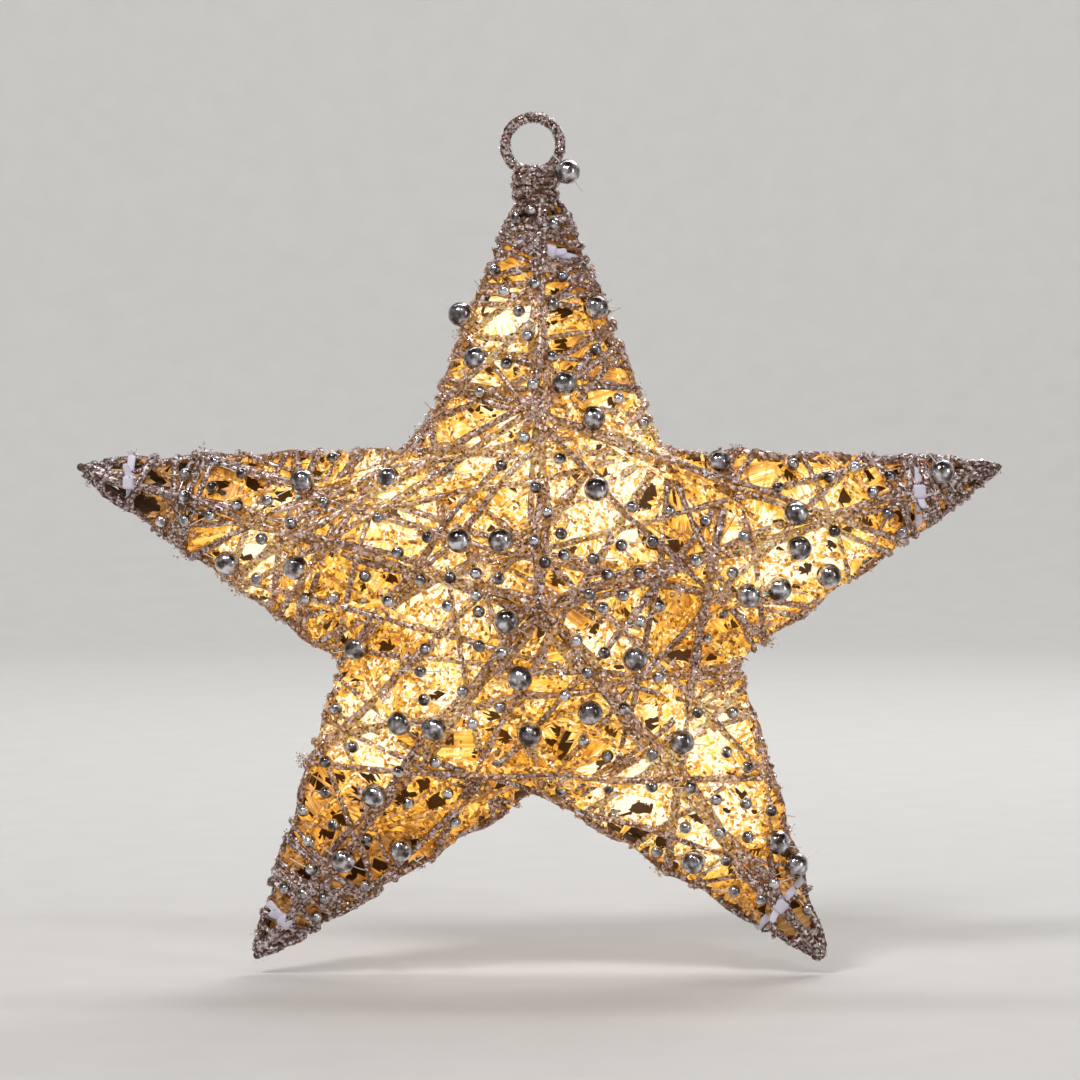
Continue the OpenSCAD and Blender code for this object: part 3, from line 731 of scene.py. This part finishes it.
# ---------------------------------------------------------------- split straw
SIDE = 9    # points along and across a strip
SQUARES = np.array([[i * SIDE + j, (i + 1) * SIDE + j, (i + 1) * SIDE + j + 1, i * SIDE + j + 1]
                    for i in range(SIDE - 1) for j in range(SIDE - 1)])


def straw_strip(uv, direction, length, width, offset, front, lift):
    """Points and texture places of a bundle of fibres, ridged across and pointed at its ends."""
    d = np.array([math.cos(direction), math.sin(direction)])
    e = np.array([-d[1], d[0]])
    fan = rng.normal() * 0.5
    bend = rng.normal() * 0.10 * length
    steps = np.linspace(-0.5, 0.5, SIDE)
    s, c = np.meshgrid(steps, steps, indexing="ij")
    taper = 1 - (2 * np.abs(s)) ** 3 * rng.uniform(0.3, 0.9)
    ragged = 1 + 0.13 * np.sin(c * 17 + rng.random() * 6)
    across = c * width * taper * (1 + fan * s) + bend * (s ** 2 - 0.12)
    u = uv[0] + d[0] * s * length * ragged + e[0] * across
    v = uv[1] + d[1] * s * length * ragged + e[1] * across
    fold_in = np.clip(-rise(u, v) / STEEP - offset * 0.9, 0, None)
    pull = 1 - fold_in / np.maximum(np.hypot(u, v), 1)
    u, v = u * pull, v * pull
    h = height_over(u, v, offset, FRONT_DEPTH if front else BACK_DEPTH)
    ridge = 0.32 * (np.arange(SIDE)[None, :] % 2)
    h = h + ridge + lift * (1 - 4 * s ** 2)
    points = to_row(u.ravel(), v.ravel(), (-h if front else h).ravel())
    tex = [c * width + 9 * rng.random(), s * length + 40 * rng.random()]
    return points, np.stack([t.ravel() for t in tex], -1)


def hole_places(count, front):
    """Gaps in the straw, where the cords leave most room.

    Each is (u, v, half length, half width, direction)."""
    points = np.concatenate(laid)
    points = points[points[:, 1] < 0 if front else points[:, 1] > 0]
    near = KDTree(len(points))
    for i, (x, _, z) in enumerate(points):
        near.insert((x - CX, (z - CZ) / HEIGHT, 0), i)
    near.balance()
    spots = []
    while len(spots) < 9 * count:
        k = int(rng.integers(5))
        a = reach(k) * math.sqrt(rng.random())
        uv = arm_uv(k, a, rng.uniform(-1, 1) * a * math.tan(ARM / 2))
        if rise(*uv) > 3 * STEEP and (front or not crosses_case(uv, uv)):
            spots.append((near.find((*uv, 0))[2] + 1.2 * rng.random(), *uv))
    found = []
    for room, u, v in sorted(spots, reverse=True):
        if all(math.hypot(u - f[0], v - f[1]) > 6 for f in found):
            wide = min(max(room, 1.9), 3.6)
            found.append((u, v, wide * rng.uniform(1.2, 2.1), wide, rng.uniform(0, 3.1)))
        if len(found) == count:
            break
    return np.array(found)


def in_holes(holes, u, v):
    """Which places are inside one of the diamond-shaped gaps."""
    du, dv = u[:, None] - holes[:, 0], v[:, None] - holes[:, 1]
    c, s = np.cos(holes[:, 4]), np.sin(holes[:, 4])
    along, across = (du * c + dv * s) / holes[:, 2], (dv * c - du * s) / holes[:, 3]
    return (np.abs(along) + np.abs(across) < 1.15).any(axis=1)


HOLES = {True: hole_places(170, True), False: hole_places(140, False)}    # front and back
FEWEST = 24    # squares a strip keeps beside a gap, or it is left out


def straw_layer(name, count, front, replaced):
    """Strips across and along the arms, with the gaps cut out of them."""
    points, faces, tex, tints, shine = [], [], [], [], []
    while len(points) < count:
        k = int(rng.integers(5))
        a = reach(k) * math.sqrt(rng.random())
        t = rng.uniform(-1, 1) * a * math.tan(ARM / 2)
        uv = arm_uv(k, a, t)
        if rise(*uv) < 0.01 or a > reach(k) - 6:
            continue
        width = rng.uniform(4.5, 12)
        length = rng.uniform(16, 44)
        room = NOTCH_W * (TIP - a) / (TIP - NOTCH_A) if a > NOTCH_A else 30
        length = min(length, 2.1 * room + 5)
        if rng.random() < 0.45:
            direction = rng.uniform(0, math.pi)
        else:
            direction = -ARM * k + rng.normal() * 0.5
        half = 0.5 * length * np.array([math.cos(direction), math.sin(direction)])
        if not front and crosses_case(uv - half, uv + half):
            continue
        p, x = straw_strip(uv, direction, length, width, 1.5 + rng.uniform(-0.5, 0.6), front,
                           rng.uniform(0, 0.5))
        middle = p[SQUARES].mean(axis=1)
        u, v = middle[:, 0] - CX, (middle[:, 2] - CZ) / HEIGHT
        keep = (rise(u, v) > 0) & ~in_holes(HOLES[front], u, v)
        if keep.sum() < FEWEST:
            keep[:] = False
        faces.append(SQUARES[keep])
        points.append(p)
        tex.append(x)
        # each strip takes its own share of the painted lamp glow
        shine.append(np.full(len(p), rng.choice([0.45, 0.7, 0.9, 1.15, 1.4])))
        tints.append(np.full((len(p), 3), rng.uniform(0.75, 1.1)))
    points, faces = joined(list(zip(points, faces)))
    obj = mesh_object(name, points, faces, STRAW, "straw",
                      glow=glow_at(points) * np.concatenate(shine),
                      tint=np.concatenate(tints), uv=np.concatenate(tex))
    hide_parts(replaced)


straw_layer("straw_strips_front", 430, True, "straw_front")
straw_layer("straw_strips_back", 380, False, "straw_back")


def gap_shade_sheets(name, front):
    """Painted shade: dark sheets under the gaps in the straw."""
    parts = []
    for u, v, half_length, half_width, direction in HOLES[front]:
        points, _ = straw_strip((u, v), direction, 2 * half_length + 5, 2 * half_width + 5,
                                rng.uniform(-3.6, -2.6), front, 0)
        parts.append((points, SQUARES))
        rng.random()    # not used: it keeps the later draws in their order
    mesh_object(name, *joined(parts), GAP_SHADE, "straw")


gap_shade_sheets("dark_straw_front", True)
gap_shade_sheets("dark_straw_back", False)


# ---------------------------------------------------------------- cable ties
BAND = 12    # points round a strap
# the faces that close a strap's end
BAND_END = [[0, 1, 2, 3], [0, 3, 4, 5], [0, 5, 6, 7], [0, 7, 8, 11], [8, 9, 10, 11]]


def band(path, across, width, thick, round_ends=False):
    """Points and faces of a flat strap along a path, with its width laid along a direction."""
    t = unit(np.gradient(path, axis=0))
    wide = unit(across - t * (t @ across)[:, None])
    out = np.cross(t, wide)
    turn = np.linspace(0, 2 * math.pi, BAND, endpoint=False)
    c, s = np.cos(turn), np.sin(turn)
    c, s = np.sign(c) * np.abs(c) ** 0.5, np.sign(s) * np.abs(s) ** 0.6
    if round_ends:
        ease = np.linspace(-1, 1, len(path))
        width = (width * (1 - 0.5 * np.abs(ease) ** 8))[:, None, None]
        thick = (thick * (1 - 0.4 * np.abs(ease) ** 8))[:, None, None]
    verts = (path[:, None] + 0.5 * width * (c[None, :, None] * wide[:, None])
             + 0.5 * thick * (s[None, :, None] * out[:, None])).reshape(-1, 3)
    i, j = np.arange(len(path) - 1)[:, None] * BAND, np.arange(BAND)[None, :]
    after = (j + 1) % BAND
    quads = np.stack([i + j, i + after, i + BAND + after, i + BAND + j], -1).reshape(-1, 4)
    ends = [np.array(BAND_END) + start for start in (0, BAND * (len(path) - 1))]
    return verts, np.concatenate([quads, *ends])


def tie(name, k, tilt, head_at):
    """A strap round an arm over its windings, with its head and the tail cut short."""
    low, high = box_mm(name)
    middle = (low + high) / 2
    a, _, _ = fold(middle[0] - CX, (middle[2] - CZ) / HEIGHT)
    width = NOTCH_W * (TIP - a) / (TIP - NOTCH_A)
    ring = []
    for side, depth in ((1, FRONT_DEPTH), (-1, BACK_DEPTH)):
        t = side * np.linspace(-1, 1, 25) * (width + 2.6)
        u, v = np.array([arm_uv(k, a + tilt * x, x) for x in t]).T
        y = taut(height_over(u, v, 2.6, depth), 0.85)
        ring.append(to_row(u, v, -side * y)[:-1])
    ring = np.concatenate(ring + [ring[0][:2]])
    along = to_row(*arm_uv(k, 1, 0), 0) - to_row(0, 0, 0)
    sideways = unit(ring[14] - ring[10])
    outward = np.array([0, -1.0, 0])
    start = ring[head_at] + outward
    s = np.linspace(0, 1, 17)[:, None]
    head = start + (s - 0.5) * 4.4 * sideways
    tail = start + sideways * 5.5 * s + 1.6 * outward * s ** 2 + along * 1.5 * s ** 2
    verts, faces = joined([band(ring, along, 2.5, 1.0), band(head, along, 4.2, 3.0, True),
                           band(tail, along, 2.3, 1.0, True)])
    obj = mesh_object("strap_" + name, verts, faces, TIE, "tie_nylon")
    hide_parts(name)


TIE_TILTS = (-0.3, -0.3, 0.25, -0.2, 0.3)
for k, arm in enumerate(ARM_NAMES):
    tie("cable_tie_" + arm, k, TIE_TILTS[k], 15 if arm == "top" else 12)


# ---------------------------------------------------------------- beads and their line
def bead_mesh(centre, radius, axis, hole):
    """Points and faces of a ball with a lipped hole of that radius along its axis."""
    turns, rows = 26, 15
    start = math.asin(hole / radius)
    tilt = np.linspace(start, math.pi - start, rows)
    profile = np.stack([radius * np.cos(tilt), radius * np.sin(tilt)], -1)
    lip = [[radius * math.cos(start) - 0.35, hole * 0.8]]
    profile = np.concatenate([lip, profile, np.array(lip) * [-1, 1]])
    axis = unit(np.array(axis, float))
    side = unit(np.cross(axis, [0.13, 0.9, 0.31]))
    other = np.cross(axis, side)
    f = np.linspace(0, 2 * math.pi, turns, endpoint=False)
    ring = np.cos(f)[:, None] * side + np.sin(f)[:, None] * other
    verts = centre + profile[:, None, :1] * axis + profile[:, None, 1:] * ring[None]
    i = np.arange(len(profile) - 1)[:, None] * turns
    j = np.arange(turns)[None, :]
    after = (j + 1) % turns
    quads = np.stack([i + j, i + j + turns, i + after + turns, i + after], -1).reshape(-1, 4)
    return verts.reshape(-1, 3), quads


def beads(name, node, hole):
    """A bead in place of each of a node's solids. Returns their middles, radii and axes."""
    parts, strung = [], []
    for low, high in islands(node):
        centre, radius = (low + high) / 2, (high[2] - low[2]) / 2
        turn = rng.normal() * 0.5
        axis = np.array([math.cos(turn), rng.normal() * 0.1, math.sin(turn)])
        parts.append(bead_mesh(centre, radius, axis, hole))
        strung.append((centre, radius, axis / np.linalg.norm(axis)))
    obj = mesh_object(name, *joined(parts), BEAD, "mirror_bead")
    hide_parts(node)
    return strung


large = beads("mirror_beads_large", "large_beads", 0.6)
small = beads("mirror_beads_small", "small_beads", 0.42)
LINE_R = 0.17
lines = []    # each line comes out of its bead on both sides and sinks between the cords
for centre, radius, axis in large + small[::2]:
    inward = np.array([0, -np.sign(centre[1]), 0])
    half = radius + 2.5 + 4 * rng.random()
    s = np.linspace(-1, 1, 21)
    sink = np.clip(np.abs(s) * half - radius, 0, None) / (half - radius)
    path = centre + s[:, None] * half * axis + (sink ** 1.6)[:, None] * inward * (radius + 1.5)
    lines.append(tube(path, LINE_R, 6)[:2])
line = mesh_object("bead_nylon", *joined(lines), LINE, "nylon")
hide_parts("bead_line")

# ---------------------------------------------------------------- floor, lamps and studio light
# a round floor that curves up into a wall, in metres, so that no view looks past it
FLAT_R, CURVE_R, WALL_TOP = 1.7, 0.8, 3.2
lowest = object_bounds()[0][2] - 0.004
profile = [(0.4, lowest), (1.0, lowest), (FLAT_R, lowest)]
profile += [(FLAT_R + CURVE_R * math.sin(t), lowest + CURVE_R - CURVE_R * math.cos(t))
            for t in np.linspace(0.1, math.pi / 2, 16)]
profile += [(FLAT_R + CURVE_R, WALL_TOP)]
turns = 72
points = [(0, 0, lowest)] + [(r * math.cos(f), r * math.sin(f), z) for r, z in profile
                             for f in np.linspace(0, 2 * math.pi, turns, endpoint=False)]
faces = [(0, 1 + j, 1 + (j + 1) % turns) for j in range(turns)]
for start in range(1, 1 + (len(profile) - 1) * turns, turns):
    faces += [(start + j, start + turns + j, start + turns + (j + 1) % turns,
               start + (j + 1) % turns) for j in range(turns)]
mesh = bpy.data.meshes.new("floor")
mesh.from_pydata(points, [], faces)
mesh.polygons.foreach_set("use_smooth", [True] * len(mesh.polygons))
floor = bpy.data.objects.new("floor", mesh)
scene.collection.objects.link(floor)
floor.data.materials.append(
    plain_material("pale_floor", (0.66, 0.65, 0.635), 0.75, grain=90, vary=0.02))

for i, place in enumerate(lamps):
    light = bpy.data.lights.new(f"lamp_{i}", "POINT")
    light.energy = 0.02
    light.color = (1.0, 0.60, 0.24)
    light.shadow_soft_size = 0.004
    obj = bpy.data.objects.new(f"lamp_{i}", light)
    obj.location = Vector(place * MM)
    scene.collection.objects.link(obj)


def softbox(name, place, size, energy, colour=(1, 1, 1), aim=AIM):
    """A rectangular lamp, its size in metres, that points at aim."""
    light = bpy.data.lights.new(name, "AREA")
    light.shape = "RECTANGLE"
    light.size, light.size_y = size
    light.energy = energy
    light.color = colour
    obj = bpy.data.objects.new(name, light)
    obj.location = place
    obj.rotation_euler = (aim - obj.location).to_track_quat("-Z", "Y").to_euler()
    scene.collection.objects.link(obj)


softbox("key", Vector((-0.6, -0.9, 1.1)), (0.32, 0.32), 11, (1.0, 0.98, 0.97))
softbox("fill", Vector((1.3, -0.9, 0.2)), (0.3, 0.7), 3, (0.96, 0.97, 1.0))
softbox("front", Vector((0.25, -1.1, 1.2)), (0.16, 0.16), 2.5)
softbox("wash", Vector((0, 0.7, 1.6)), (2.4, 0.6), 26, aim=Vector((0, 2.2, 0.0)))
softbox("wash_behind", Vector((0, -1.6, 1.7)), (2.4, 0.6), 8, aim=Vector((0, -2.5, 0.2)))
softbox("back", Vector((0.5, 1.0, 0.9)), (0.6, 0.6), 5)
world = bpy.data.worlds.new("studio")
scene.world = world
world.use_nodes = True
world.node_tree.nodes["Background"].inputs["Color"].default_value = (0.82, 0.81, 0.82, 1)
world.node_tree.nodes["Background"].inputs["Strength"].default_value = 0.13
scene.view_settings.view_transform = "Standard"
